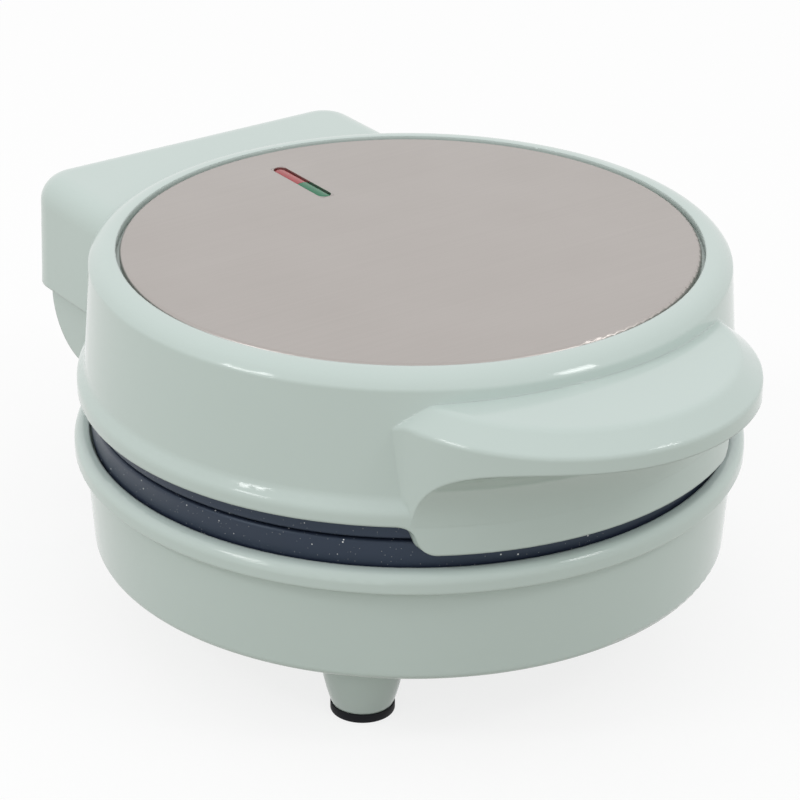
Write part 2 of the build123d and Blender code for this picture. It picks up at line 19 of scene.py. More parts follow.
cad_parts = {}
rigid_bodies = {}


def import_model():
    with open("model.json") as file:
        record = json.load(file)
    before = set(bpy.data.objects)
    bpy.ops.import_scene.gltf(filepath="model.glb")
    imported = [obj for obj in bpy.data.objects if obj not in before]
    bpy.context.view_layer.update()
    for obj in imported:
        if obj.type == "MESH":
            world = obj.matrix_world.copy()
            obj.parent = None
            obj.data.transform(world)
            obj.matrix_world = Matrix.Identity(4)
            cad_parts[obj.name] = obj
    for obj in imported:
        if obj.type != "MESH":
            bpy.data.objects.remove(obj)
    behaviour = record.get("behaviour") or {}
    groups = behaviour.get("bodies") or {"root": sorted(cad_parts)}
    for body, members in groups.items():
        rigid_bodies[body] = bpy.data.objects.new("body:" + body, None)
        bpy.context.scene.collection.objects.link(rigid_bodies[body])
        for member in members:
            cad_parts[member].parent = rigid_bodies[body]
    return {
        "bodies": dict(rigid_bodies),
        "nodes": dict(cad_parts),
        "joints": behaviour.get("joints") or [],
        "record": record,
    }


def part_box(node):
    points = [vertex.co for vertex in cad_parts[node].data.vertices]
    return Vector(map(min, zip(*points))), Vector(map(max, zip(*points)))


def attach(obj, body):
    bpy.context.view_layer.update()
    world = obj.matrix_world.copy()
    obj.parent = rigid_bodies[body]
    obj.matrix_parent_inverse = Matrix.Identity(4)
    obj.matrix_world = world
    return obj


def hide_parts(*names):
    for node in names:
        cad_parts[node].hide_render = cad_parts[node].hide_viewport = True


log = logging.getLogger("doughnut_maker")

Colour = tuple[float, float, float]
Triple = tuple[float, float, float]
Socket = bpy.types.NodeSocket
Form = bmesh.types.BMesh
MERGE_DISTANCE = 1e-6


class Body(str, Enum):
    """The two bodies that the hinge joins."""

    BASE = "base"
    LID = "lid"


class Slot(str, Enum):
    """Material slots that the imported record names."""

    HOUSING = "housing"
    NONSTICK = "nonstick"
    STEEL_TOP = "steel_top"
    SHEATH = "sheath"
    TIN_PLATE = "tin_plate"
    HARDWARE = "hardware"
    CERAMIC = "ceramic"
    DARK_PLASTIC = "dark_plastic"
    RUBBER = "rubber"
    RED_LENS = "red_lens"
    GREEN_LENS = "green_lens"
    LAMP_GLASS = "lamp_glass"


def srgb(red: int, green: int, blue: int) -> Colour:
    """Turn a colour as a screen shows it into the renderer's linear values.

    Args:
        red: Red from 0 to 255.
        green: Green from 0 to 255.
        blue: Blue from 0 to 255.

    Returns:
        The three linear values.
    """
    def linear(value: int) -> float:
        """Undo the screen's curve for one value."""
        share = value / 255
        return share / 12.92 if share <= 0.04045 else ((share + 0.055) / 1.055) ** 2.4

    return linear(red), linear(green), linear(blue)


def scaled(colour: Colour, factor: float) -> Colour:
    """Make a colour lighter or darker by one factor."""
    red, green, blue = colour
    return red * factor, green * factor, blue * factor


def heading(azimuth_deg: float, elevation_deg: float) -> Vector:
    """Give a direction seen from the object.

    Args:
        azimuth_deg: Turn from +X towards +Y, in degrees.
        elevation_deg: Angle above the horizon, in degrees.

    Returns:
        The unit vector.
    """
    turn = math.radians(azimuth_deg)
    rise = math.radians(elevation_deg)
    return Vector((math.cos(turn) * math.cos(rise), math.sin(turn) * math.cos(rise), math.sin(rise)))


def placed(name: str, data: bpy.types.ID) -> bpy.types.Object:
    """Put a mesh, a light or a camera into the scene, at the origin.

    Args:
        name: Name of the object.
        data: The mesh, light or camera.

    Returns:
        The object.
    """
    thing = bpy.data.objects.new(name, data)
    bpy.context.scene.collection.objects.link(thing)
    return thing


class Shader:
    """A Principled material under construction, patterned on object coordinates."""

    speck_core: float = 0.7
    noise_low: float = 0.25
    noise_high: float = 0.75
    bevel_samples: int = 6
    mix_share: int = 0
    mix_first: int = 6
    mix_second: int = 7
    mix_result: int = 2

    def __init__(self, name: str) -> None:
        """Start a material.

        Args:
            name: Name of the finish.
        """
        self.material = bpy.data.materials.new(name)
        self.material.use_nodes = True
        self.tree = self.material.node_tree
        self.surface = self.tree.nodes["Principled BSDF"]
        self.place = self.node("ShaderNodeTexCoord").outputs["Object"]
        self.eased: Socket | None = None

    def node(self, kind: str, **settings: Any) -> bpy.types.Node:
        """Add a node and set its options.

        Args:
            kind: Type of the node.
            **settings: Values of the node's own options.

        Returns:
            The node.
        """
        made = self.tree.nodes.new(kind)
        for option, value in settings.items():
            setattr(made, option, value)
        return made

    def link(self, source: Socket, target: Socket) -> None:
        """Join two sockets."""
        self.tree.links.new(source, target)

    def constants(self, **values: Any) -> None:
        """Set sockets of the surface that are the same all over.

        Args:
            **values: Socket names, with underscores for spaces, and their values.
        """
        for name, value in values.items():
            self.surface.inputs[name.replace("_", " ")].default_value = value

    def stretched(self, stretch: Triple) -> Socket:
        """Give coordinates drawn out or pressed together along each axis.

        Args:
            stretch: Factor on each axis.

        Returns:
            The socket with the changed coordinates.
        """
        mapping = self.node("ShaderNodeMapping")
        mapping.inputs["Scale"].default_value = stretch
        self.link(self.place, mapping.inputs["Vector"])
        return mapping.outputs["Vector"]

    def noise(self, scale: float, detail: float = 3.0, stretch: Triple = (1, 1, 1)) -> Socket:
        """Add cloudy noise.

        Args:
            scale: Repeats to the metre.
            detail: Number of finer layers.
            stretch: Factor on each axis.

        Returns:
            The socket with values from 0 to 1.
        """
        cloud = self.node("ShaderNodeTexNoise")
        cloud.inputs["Scale"].default_value = scale
        cloud.inputs["Detail"].default_value = detail
        self.link(self.stretched(stretch), cloud.inputs["Vector"])
        return cloud.outputs["Fac"]

    def specks(self, pitch: float, radius: float) -> Socket:
        """Add round specks scattered through the material.

        Args:
            pitch: Mean distance between specks, in metres.
            radius: Largest radius of a speck, in metres.

        Returns:
            The socket that is 1 inside a speck and 0 outside.
        """
        cells = self.node("ShaderNodeTexVoronoi")
        cells.inputs["Scale"].default_value = 1 / pitch
        self.link(self.place, cells.inputs["Vector"])
        edge = radius / pitch
        return self.remapped(cells.outputs["Distance"], edge, self.speck_core * edge, 0, 1)

    def remapped(self, source: Socket, low: float, high: float, to_low: float, to_high: float) -> Socket:
        """Stretch a range of values onto another range.

        Args:
            source: Socket with the values.
            low: Start of the range that is read.
            high: End of the range that is read.
            to_low: Value given at the start.
            to_high: Value given at the end.

        Returns:
            The socket with the new values.
        """
        ranged = self.node("ShaderNodeMapRange")
        ends = {"From Min": low, "From Max": high, "To Min": to_low, "To Max": to_high}
        for name, value in ends.items():
            ranged.inputs[name].default_value = value
        self.link(source, ranged.inputs["Value"])
        return ranged.outputs["Result"]

    def mixed(self, share: Socket, first: Colour | Socket, second: Colour) -> Socket:
        """Mix two colours by a pattern. The node's sockets share names, so they go by number.

        Args:
            share: Socket with the second colour's share.
            first: Colour, or socket with a colour, where the share is 0.
            second: Colour where the share is 1.

        Returns:
            The socket with the mixed colour.
        """
        mix = self.node("ShaderNodeMix", data_type="RGBA")
        self.link(share, mix.inputs[self.mix_share])
        if isinstance(first, Socket):
            self.link(first, mix.inputs[self.mix_first])
        else:
            mix.inputs[self.mix_first].default_value = (*first, 1)
        mix.inputs[self.mix_second].default_value = (*second, 1)
        return mix.outputs[self.mix_result]

    def drifting(self, share: Socket, colour: Colour, spread: float) -> Socket:
        """Let a colour drift between a darker and a lighter tone.

        Args:
            share: Socket with the lighter tone's share.
            colour: Colour in the middle.
            spread: Share by which the tones depart from it.

        Returns:
            The socket with the drifting colour.
        """
        return self.mixed(share, scaled(colour, 1 - spread), scaled(colour, 1 + spread))

    def colour(self, source: Socket) -> None:
        """Feed the surface's colour."""
        self.link(source, self.surface.inputs["Base Color"])

    def roughness(self, source: Socket, middle: float, spread: float) -> None:
        """Let the roughness wander about a middle value.

        Args:
            source: Socket with values from 0 to 1.
            middle: Mean roughness.
            spread: Distance of the ends from the mean.
        """
        wandering = self.remapped(source, self.noise_low, self.noise_high, middle - spread, middle + spread)
        self.link(wandering, self.surface.inputs["Roughness"])

    def ease_edges(self, radius: float) -> None:
        """Let light run round the solid's edges as on a moulding. It comes before bump.

        Args:
            radius: Radius of the rounding, in metres.
        """
        rounding = self.node("ShaderNodeBevel", samples=self.bevel_samples)
        rounding.inputs["Radius"].default_value = radius
        self.eased = rounding.outputs["Normal"]

    def bump(self, source: Socket, height: float) -> None:
        """Raise the surface a little by a pattern.

        Args:
            source: Socket with values from 0 to 1.
            height: Height between 0 and 1, in metres.
        """
        relief = self.node("ShaderNodeBump")
        relief.inputs["Distance"].default_value = height
        self.link(source, relief.inputs["Height"])
        if self.eased:
            self.link(self.eased, relief.inputs["Normal"])
        self.link(relief.outputs["Normal"], self.surface.inputs["Normal"])


@dataclass(frozen=True)
class MouldedPlastic:
    """Injection-moulded plastic: nearly even colour and a faint orange-peel skin."""

    name: str
    colour: Colour
    gloss_roughness: float
    drift: float = 0.02
    drift_scale: float = 22.0
    gloss_scale: float = 88.0
    gloss_spread: float = 0.2
    refraction: float = 1.5
    peel_scale: float = 650.0
    peel_detail: float = 2.0
    peel_height: float = 0.000004
    edge_radius: float = 0.001

    def material(self) -> bpy.types.Material:
        """Make the finish and return it."""
        shader = Shader(self.name)
        shader.ease_edges(self.edge_radius)
        drift = shader.noise(self.drift_scale)
        shader.colour(shader.drifting(drift, self.colour, self.drift))
        gloss = shader.noise(self.gloss_scale)
        shader.roughness(gloss, self.gloss_roughness, self.gloss_spread * self.gloss_roughness)
        shader.bump(shader.noise(self.peel_scale, self.peel_detail), self.peel_height)
        shader.constants(IOR=self.refraction)
        return shader.material


@dataclass(frozen=True)
class SpeckledCoating:
    """Sprayed non-stick coat: dark slate with pale flecks of two sizes."""

    name: str
    colour: Colour
    fleck: Colour
    fleck_pitch: float = 0.0034
    fleck_radius: float = 0.0003
    dust_pitch: float = 0.0013
    dust_radius: float = 0.00014
    dust_brightness: float = 0.35
    cloud_scale: float = 40.0
    cloud_detail: float = 4.0
    cloud_drift: float = 0.15
    coat_roughness: float = 0.38
    roughness_spread: float = 0.06
    shine: float = 0.55
    sheen_tint: Colour = (0.7, 0.84, 1.0)
    grain_scale: float = 2600.0
    grain_detail: float = 2.0
    grain_height: float = 0.00001
    edge_radius: float = 0.0012

    def material(self) -> bpy.types.Material:
        """Make the finish and return it."""
        shader = Shader(self.name)
        shader.ease_edges(self.edge_radius)
        shader.constants(Specular_IOR_Level=self.shine, Specular_Tint=(*self.sheen_tint, 1))
        cloud = shader.noise(self.cloud_scale, self.cloud_detail)
        ground = shader.drifting(cloud, self.colour, self.cloud_drift)
        dust = shader.specks(self.dust_pitch, self.dust_radius)
        dusty = shader.mixed(dust, ground, scaled(self.fleck, self.dust_brightness))
        flecks = shader.specks(self.fleck_pitch, self.fleck_radius)
        shader.colour(shader.mixed(flecks, dusty, self.fleck))
        shader.roughness(cloud, self.coat_roughness, self.roughness_spread)
        shader.bump(shader.noise(self.grain_scale, self.grain_detail), self.grain_height)
        return shader.material


@dataclass(frozen=True)
class BrushedMetal:
    """Sheet metal drawn over a belt: long fine streaks along one axis."""

    name: str
    colour: Colour
    sheen_roughness: float = 0.36
    roughness_spread: float = 0.04
    cloud_scale: float = 30.0
    cloud_detail: float = 2.0
    streak_scale: float = 1.0
    streak_detail: float = 5.0
    streak_stretch: Triple = (14.0, 2400.0, 400.0)
    streak_contrast: float = 0.05
    streak_height: float = 0.000006

    def material(self) -> bpy.types.Material:
        """Make the finish and return it."""
        shader = Shader(self.name)
        streaks = shader.noise(self.streak_scale, self.streak_detail, self.streak_stretch)
        cloud = shader.noise(self.cloud_scale, self.cloud_detail)
        shader.colour(shader.drifting(streaks, self.colour, self.streak_contrast))
        shader.roughness(cloud, self.sheen_roughness, self.roughness_spread)
        shader.bump(streaks, self.streak_height)
        shader.constants(Metallic=1.0)
        return shader.material


@dataclass(frozen=True)
class PlatedMetal:
    """Plated or heat-marked metal with soft stains."""

    name: str
    colour: Colour
    stain: Colour
    sheen_roughness: float
    stain_scale: float = 60.0
    stain_detail: float = 4.0
    sheen_spread: float = 0.25
    grain_scale: float = 1500.0
    grain_height: float = 0.000008

    def material(self) -> bpy.types.Material:
        """Make the finish and return it."""
        shader = Shader(self.name)
        cloud = shader.noise(self.stain_scale, self.stain_detail)
        shader.colour(shader.mixed(cloud, self.colour, self.stain))
        shader.roughness(cloud, self.sheen_roughness, self.sheen_spread * self.sheen_roughness)
        shader.bump(shader.noise(self.grain_scale), self.grain_height)
        shader.constants(Metallic=1.0)
        return shader.material


@dataclass(frozen=True)
class MattSolid:
    """Dull material with a fine grain: rubber, ceramic or textured plastic."""

    name: str
    colour: Colour
    dullness: float
    grain_scale: float = 1800.0
    grain_detail: float = 2.0
    grain_height: float = 0.00003
    drift: float = 0.12
    drift_scale: float = 90.0
    drift_detail: float = 4.0
    dullness_spread: float = 0.07
    shine: float = 0.5
    edge_radius: float = 0.0004

    def material(self) -> bpy.types.Material:
        """Make the finish and return it."""
        shader = Shader(self.name)
        shader.ease_edges(self.edge_radius)
        shader.constants(Specular_IOR_Level=self.shine)
        cloud = shader.noise(self.drift_scale, self.drift_detail)
        shader.colour(shader.drifting(cloud, self.colour, self.drift))
        shader.roughness(cloud, self.dullness, self.dullness_spread)
        shader.bump(shader.noise(self.grain_scale, self.grain_detail), self.grain_height)
        return shader.material


@dataclass(frozen=True)
class TintedClear:
    """Clear tinted moulding that lets some light through."""

    name: str
    colour: Colour
    clearness: float
    polish: float = 0.12
    polish_spread: float = 0.03
    drift: float = 0.1
    drift_scale: float = 260.0
    drift_detail: float = 2.0
    refraction: float = 1.49

    def material(self) -> bpy.types.Material:
        """Make the finish and return it."""
        shader = Shader(self.name)
        cloud = shader.noise(self.drift_scale, self.drift_detail)
        shader.colour(shader.drifting(cloud, self.colour, self.drift))
        shader.roughness(cloud, self.polish, self.polish_spread)
        shader.constants(Transmission_Weight=self.clearness, IOR=self.refraction)
        return shader.material


Finish = MouldedPlastic | SpeckledCoating | BrushedMetal | PlatedMetal | MattSolid | TintedClear

FINISHES: dict[Slot, Finish] = {
    Slot.HOUSING: MouldedPlastic("mint_gloss_plastic", srgb(199, 213, 208), 0.09),
    Slot.NONSTICK: SpeckledCoating("speckled_non_stick", srgb(37, 45, 61), srgb(236, 238, 240)),
    Slot.STEEL_TOP: BrushedMetal("brushed_steel", srgb(181, 175, 171)),
    Slot.SHEATH: PlatedMetal("heater_sheath", srgb(104, 98, 92), srgb(70, 60, 54), 0.42),
    Slot.TIN_PLATE: PlatedMetal("aluminised_sheet", srgb(182, 184, 186), srgb(160, 160, 158), 0.38),
    Slot.HARDWARE: PlatedMetal(
        "zinc_plated_steel", srgb(176, 178, 180), srgb(150, 152, 150), 0.32, stain_scale=240.0
    ),
    Slot.CERAMIC: MattSolid("steatite_ceramic", srgb(222, 216, 202), 0.5, drift=0.04),
    Slot.DARK_PLASTIC: MattSolid("dark_satin_plastic", srgb(30, 34, 44), 0.42),
    Slot.RUBBER: MattSolid("black_rubber", srgb(15, 16, 22), 0.62, shine=0.2),
    Slot.RED_LENS: TintedClear("red_lens", srgb(182, 66, 70), 0.2),
    Slot.GREEN_LENS: TintedClear("green_lens", srgb(18, 124, 84), 0.2),
    Slot.LAMP_GLASS: TintedClear("lamp_glass", srgb(236, 232, 226), 0.85, polish=0.05),
}


@dataclass
class Workshop:
    """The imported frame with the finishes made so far."""

    frame: dict[str, Any]
    made: dict[Slot, bpy.types.Material] = field(default_factory=dict)
    crease_deg: float = 32.0

    def finish(self, slot: Slot) -> bpy.types.Material:
        """Give the material of a slot, made on first use.

        Args:
            slot: Material slot.

        Returns:
            The material.
        """
        if slot not in self.made:
            self.made[slot] = FINISHES[slot].material()
        return self.made[slot]

    def dress(self, slot: Slot, *nodes: str) -> None:
        """Put a finish on solids of the frame.

        Args:
            slot: Material slot of the solids.
            *nodes: Names of the solids.
        """
        for node in nodes:
            solid = self.frame["nodes"][node]
            for material_slot in solid.material_slots:
                material_slot.material = self.finish(slot)
            log.info("dressed %s in %s", node, slot.value)

    def add(self, name: str, form: Form, slot: Slot, body: Body, *replaced: str) -> None:
        """Turn a finished form into a piece that rides on a body.

        Args:
            name: Name of the piece.
            form: Its mesh in the frame's metres, which is used up.
            slot: Material slot of its finish.
            body: Body that carries it.
            *replaced: Solids of the frame that it stands for.
        """
        bmesh.ops.remove_doubles(form, verts=form.verts[:], dist=MERGE_DISTANCE)
        bmesh.ops.recalc_face_normals(form, faces=form.faces[:])
        mesh = bpy.data.meshes.new(name)
        form.to_mesh(mesh)
        form.free()
        mesh.shade_smooth()
        mesh.set_sharp_from_angle(angle=math.radians(self.crease_deg))
        mesh.materials.append(self.finish(slot))
        piece = placed(name, mesh)
        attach(piece, body.value)
        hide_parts(*replaced)
        log.info("made %s with %d faces", name, len(mesh.polygons))


def vertices_of(geometry: list[Any]) -> list[bmesh.types.BMVert]:
    """Pick the vertices out of what an operator returns."""
    return [item for item in geometry if isinstance(item, bmesh.types.BMVert)]


def open_edges(form: Form) -> list[bmesh.types.BMEdge]:
    """Find the edges at a form's open rim."""
    return [edge for edge in form.edges if edge.is_boundary]


@dataclass(frozen=True)
class CrossScrew:
    """Pan-head screw with a cross recess: the head's top is at the origin, the shank below it."""

    head_radius: float
    length: float
    head_height: float = 0.0024
    shank_radius: float = 0.002
    recess_half: float = 0.0019
    recess_depth: float = 0.0014
    recess_taper: float = 0.6
    cells: int = 7
    crown_share: float = 0.72
    crown_fall: float = 0.12
    shoulder_fall: float = 0.28
    point_share: float = 0.4

    def in_cross(self, middle: Vector) -> bool:
        """Tell whether a cell of the head's top is part of the recess.

        Args:
            middle: Centre of the cell.

        Returns:
            True on the two arms, short of the outermost cells.
        """
        cell = 2 * self.recess_half / self.cells
        across, along = sorted((abs(middle.x), abs(middle.y)))
        return across < cell / 2 and along < self.recess_half - cell

    def step_down(self, form: Form, ratio: float, drop: float) -> None:
        """Carry the open rim on to a ring of another radius further down.

        Args:
            form: Screw so far.
            ratio: New radius over the old one.
            drop: How much lower the new ring is.
        """
        ring = vertices_of(bmesh.ops.extrude_edge_only(form, edges=open_edges(form))["geom"])
        bmesh.ops.scale(form, vec=(ratio, ratio, 1), verts=ring)
        bmesh.ops.translate(form, vec=(0, 0, -drop), verts=ring)

    def form(self) -> Form:
        """Model one screw.

        Returns:
            Its mesh.
        """
        screw = bmesh.new()
        bmesh.ops.create_grid(screw, x_segments=self.cells, y_segments=self.cells, size=self.recess_half)
        rim = open_edges(screw)
        cross = [face for face in screw.faces if self.in_cross(face.calc_center_median())]
        sunk = vertices_of(bmesh.ops.extrude_face_region(screw, geom=cross)["geom"])
        bmesh.ops.delete(screw, geom=cross, context="FACES")
        bmesh.ops.translate(screw, vec=(0, 0, -self.recess_depth), verts=sunk)
        bmesh.ops.scale(screw, vec=(self.recess_taper, self.recess_taper, 1), verts=sunk)
        for vertex in vertices_of(bmesh.ops.extrude_edge_only(screw, edges=rim)["geom"]):
            vertex.co = vertex.co.normalized() * self.crown_share * self.head_radius
        shoulder_share = (1 + self.crown_share) / 2
        rings = (
            (shoulder_share / self.crown_share, self.crown_fall * self.head_height),
            (1 / shoulder_share, self.shoulder_fall * self.head_height),
            (1, (1 - self.crown_fall - self.shoulder_fall) * self.head_height),
            (self.shank_radius / self.head_radius, 0),
            (1, self.length - self.head_height - self.shank_radius),
            (self.point_share, self.shank_radius),
        )
        for ratio, drop in rings:
            self.step_down(screw, ratio, drop)
        bmesh.ops.holes_fill(screw, edges=open_edges(screw))
        return screw

    def group(self, places: list[Matrix]) -> Form:
        """Model several like screws as one mesh.

        Args:
            places: Place of each head's top.

        Returns:
            The mesh of all of them.
        """
        whole = bmesh.new()
        for place in places:
            screw = self.form()
            bmesh.ops.transform(screw, matrix=place, verts=screw.verts[:])
            single = bpy.data.meshes.new("screw")
            screw.to_mesh(single)
            screw.free()
            whole.from_mesh(single)
            bpy.data.meshes.remove(single)
        return whole


@dataclass(frozen=True)
class RubberPad:
    """Foot pad with a hollowed, grooved sole and a plug that goes up into the foot."""

    disc_height: float = 0.003
    plug_radius: float = 0.004
    hollow_radius: float = 0.0032
    hollow_depth: float = 0.0006
    groove_radius: float = 0.0062
    groove_width: float = 0.0009
    groove_depth: float = 0.0007
    edge_round: float = 0.0004
    round_segments: int = 2
    corner_deg: float = 60.0
    steps: int = 72

    def form(self, low: Vector, high: Vector) -> Form:
        """Model one pad in the space of its solid.

        Args:
            low: Lowest corner of the solid.
            high: Highest corner of the solid.

        Returns:
            Its mesh.
        """
        radius = (high.x - low.x) / 2
        top = high.z - low.z
        groove_outer = self.groove_radius + self.groove_width
        outline = (
            (0, self.hollow_depth),
            (self.hollow_radius, self.hollow_depth),
            (self.hollow_radius, 0),
            (self.groove_radius, 0),
            (self.groove_radius, self.groove_depth),
            (groove_outer, self.groove_depth),
            (groove_outer, 0),
            (radius, 0),
            (radius, self.disc_height),
            (self.plug_radius, self.disc_height),
            (self.plug_radius, top),
            (0, top),
        )
        pad = bmesh.new()
        points = [pad.verts.new((reach, 0, height)) for reach, height in outline]
        sides = [pad.edges.new(pair) for pair in zip(points, points[1:])]
        bmesh.ops.spin(
            pad,
            geom=points + sides,
            cent=(0, 0, 0),
            axis=(0, 0, 1),
            angle=2 * math.pi,
            steps=self.steps,
            use_merge=True,
        )
        bmesh.ops.remove_doubles(pad, verts=pad.verts[:], dist=MERGE_DISTANCE)
        bmesh.ops.recalc_face_normals(pad, faces=pad.faces[:])
        corner = math.radians(self.corner_deg)
        bmesh.ops.bevel(
            pad,
            geom=[edge for edge in pad.edges if edge.calc_face_angle(0) > corner],
            offset=self.edge_round,
            affect="EDGES",
            segments=self.round_segments,
            profile=0.5,
            material=-1,
        )
        middle = (low + high) / 2
        bmesh.ops.translate(pad, vec=(middle.x, middle.y, low.z), verts=pad.verts[:])
        return pad


@dataclass
class Base:
    """Lower housing with its feet, cord wrap, gland, hinge pins and screws."""

    workshop: Workshop
    feet: tuple[str, ...] = ("front_left", "front_right", "rear_left", "rear_right")
    pad: RubberPad = field(default_factory=RubberPad)
    plate_screw_degrees: tuple[float, ...] = (30.0, 150.0, 270.0)

    def build(self) -> None:
        """Dress the base's outer pieces and make its pads and screws."""
        self.workshop.dress(Slot.HOUSING, "lower_housing")
        self.workshop.dress(Slot.DARK_PLASTIC, "cord_wrap", "cord_gland")
        self.workshop.dress(Slot.HARDWARE, "hinge_pin_left", "hinge_pin_right")
        for foot in self.feet:
            node = f"foot_pad_{foot}"
            pad = self.pad.form(*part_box(node))
            self.workshop.add(f"rubber_foot_{foot}", pad, Slot.RUBBER, Body.BASE, node)
        wrap_low, wrap_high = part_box("cord_wrap_screws")
        head_radius = (wrap_high.z - wrap_low.z) / 2
        self.build_wrap_screws(head_radius)
        self.build_plate_screws(head_radius)

    def build_wrap_screws(self, head_radius: float) -> None:
        """Make the two screws that hold the cord wrap, heads to the back.

        Args:
            head_radius: Radius of each head.
        """
        low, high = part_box("cord_wrap_screws")
        screw = CrossScrew(head_radius, high.y - low.y)
        to_back = Matrix.Rotation(math.radians(-90), 4, "X")
        places = [
            Matrix.Translation((x, high.y, (low.z + high.z) / 2)) @ to_back
            for x in (low.x + head_radius, high.x - head_radius)
        ]
        group = screw.group(places)
        self.workshop.add("cord_wrap_cross_screws", group, Slot.HARDWARE, Body.BASE, "cord_wrap_screws")

    def build_plate_screws(self, head_radius: float) -> None:
        """Make the three screws that hold the lower plate, heads in the wells of the floor.

        Args:
            head_radius: Radius of each head.
        """
        low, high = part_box("lower_plate_screws")
        screw = CrossScrew(head_radius, high.z - low.z)
        head_down = Matrix.Rotation(math.radians(180), 4, "X")
        on_ring = Matrix.Translation((-low.y - head_radius, 0, low.z)) @ head_down
        turns = [Matrix.Rotation(math.radians(turn), 4, "Z") for turn in self.plate_screw_degrees]
        group = screw.group([turn @ on_ring for turn in turns])
        self.workshop.add("base_cross_screws", group, Slot.HARDWARE, Body.BASE, "lower_plate_screws")


def round_rectangle(half_x: float, half_y: float, radius: float, steps: int) -> list[tuple[float, float]]:
    """Lay out a rectangle with round corners.

    Args:
        half_x: Half its width.
        half_y: Half its length.
        radius: Radius of its corners.
        steps: Chords in each corner.

    Returns:
        Points around it.
    """
    points = []
    for corner, (side_x, side_y) in enumerate(((1, 1), (-1, 1), (-1, -1), (1, -1))):
        for step in range(steps + 1):
            angle = math.radians(90) * (corner + step / steps)
            x = side_x * (half_x - radius) + radius * math.cos(angle)
            y = side_y * (half_y - radius) + radius * math.sin(angle)
            points.append((x, y))
    return points


@dataclass(frozen=True)
class LampWindow:
    """Round-ended trim in the lamp slot and the domed crown on each lens."""

    lens_flange: float = 0.0018
    slot_round: float = 0.001
    fit_gap: float = 0.00003
    trim_wall: float = 0.00015
    crown_gap: float = 0.0001
    crown_rise: float = 0.0008
    crown_meridians: int = 32
    crown_rings: int = 15
    corner_steps: int = 10

    def build(self, workshop: Workshop) -> None:
        """Fit the trim and both crowns to the slot.

        Args:
            workshop: Place that makes the pieces.
        """
        red_low, red_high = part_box("red_lens")
        green_low, green_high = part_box("green_lens")
        disc_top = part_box("top_plate")[1].z
        front, rear = min(red_low.y, green_low.y), max(red_high.y, green_high.y)
        half_x = (red_high.x - red_low.x) / 2 - self.lens_flange
        half_y = (rear - front) / 2 - self.lens_flange
        middle = Vector(((red_low.x + red_high.x) / 2, (front + rear) / 2, red_high.z))
        trim = self.trim(half_x, half_y, disc_top - red_high.z)
        bmesh.ops.translate(trim, vec=middle, verts=trim.verts[:])
        workshop.add("lamp_slot_trim", trim, Slot.STEEL_TOP, Body.LID)
        toward_red = 1 if red_low.y > green_low.y else -1
        crowns = (
            ("red_lens_crown", Slot.RED_LENS, toward_red),
            ("green_lens_crown", Slot.GREEN_LENS, -toward_red),
        )
        for name, slot, side in crowns:
            crown = self.crown(half_x, half_y, side)
            bmesh.ops.translate(crown, vec=middle, verts=crown.verts[:])
            workshop.add(name, crown, slot, Body.LID)

    def trim(self, half_x: float, half_y: float, height: float) -> Form:
        """Model the frame that gives the slot its round ends.

        Args:
            half_x: Half the slot's width.
            half_y: Half the slot's length.
            height: Height of the frame, which stands on the lenses.

        Returns:
            Its mesh, with the slot's middle at the origin.
        """
        inner_x = half_x - self.trim_wall
        outlines = (
            (half_x - self.fit_gap, half_y - self.fit_gap, self.slot_round),
            (inner_x, half_y - self.trim_wall, inner_x),
        )
        frame = bmesh.new()
        loops = []
        for across, along, radius in outlines:
            outline = round_rectangle(across, along, radius, self.corner_steps)
            points = [frame.verts.new((x, y, height)) for x, y in outline]
            loops += [frame.edges.new((points[index - 1], points[index])) for index in range(len(points))]
        bmesh.ops.bridge_loops(frame, edges=loops)
        solid = bmesh.ops.extrude_face_region(frame, geom=frame.faces[:], use_keep_orig=True)
        bmesh.ops.translate(frame, vec=(0, 0, -height), verts=vertices_of(solid["geom"]))
        return frame

    def crown(self, half_x: float, half_y: float, side: int) -> Form:
        """Model the dome on one lens, round at its outer end.

        Args:
            half_x: Half the slot's width.
            half_y: Half the slot's length.
            side: 1 for the lens at the back, -1 for the one in front.

        Returns:
            Its mesh, with the slot's middle at the origin.
        """
        radius = half_x - self.trim_wall - self.crown_gap
        stretch = half_y - self.trim_wall - self.crown_gap - radius
        dome = bmesh.new()
        bmesh.ops.create_uvsphere(
            dome, u_segments=self.crown_meridians, v_segments=self.crown_rings, radius=radius
        )
        bmesh.ops.rotate(dome, matrix=Matrix.Rotation(math.radians(90), 3, "X"), verts=dome.verts[:])
        for end in (-1, 1):
            half = [vertex for vertex in dome.verts if vertex.co.y * end > 0]
            bmesh.ops.translate(dome, vec=(0, end * stretch, 0), verts=half)
        bmesh.ops.scale(dome, vec=(1, 1, self.crown_rise / radius), verts=dome.verts[:])
        foot = ((0, 0, 0), (0, 0, 1))
        joint = ((0, side * self.crown_gap / 2, 0), (0, side, 0))
        for place, facing in (foot, joint):
            whole = dome.verts[:] + dome.edges[:] + dome.faces[:]
            bmesh.ops.bisect_plane(dome, geom=whole, plane_co=place, plane_no=facing, clear_inner=True)
            bmesh.ops.holes_fill(dome, edges=open_edges(dome))
        return dome


@dataclass
class Lid:
    """Upper housing with the steel disc and the indicator lamps."""

    workshop: Workshop
    window: LampWindow = field(default_factory=LampWindow)

    def build(self) -> None:
        """Dress the lid's outer pieces and its lamps."""
        self.workshop.dress(Slot.HOUSING, "upper_housing")
        self.workshop.dress(Slot.STEEL_TOP, "top_plate")
        self.workshop.dress(Slot.DARK_PLASTIC, "lamp_holder")
        self.workshop.dress(Slot.HARDWARE, "lamp_holder_screws")
        self.workshop.dress(Slot.RED_LENS, "red_lens")
        self.workshop.dress(Slot.GREEN_LENS, "green_lens")
        self.workshop.dress(Slot.LAMP_GLASS, "red_lamp", "green_lamp")
        self.window.build(self.workshop)


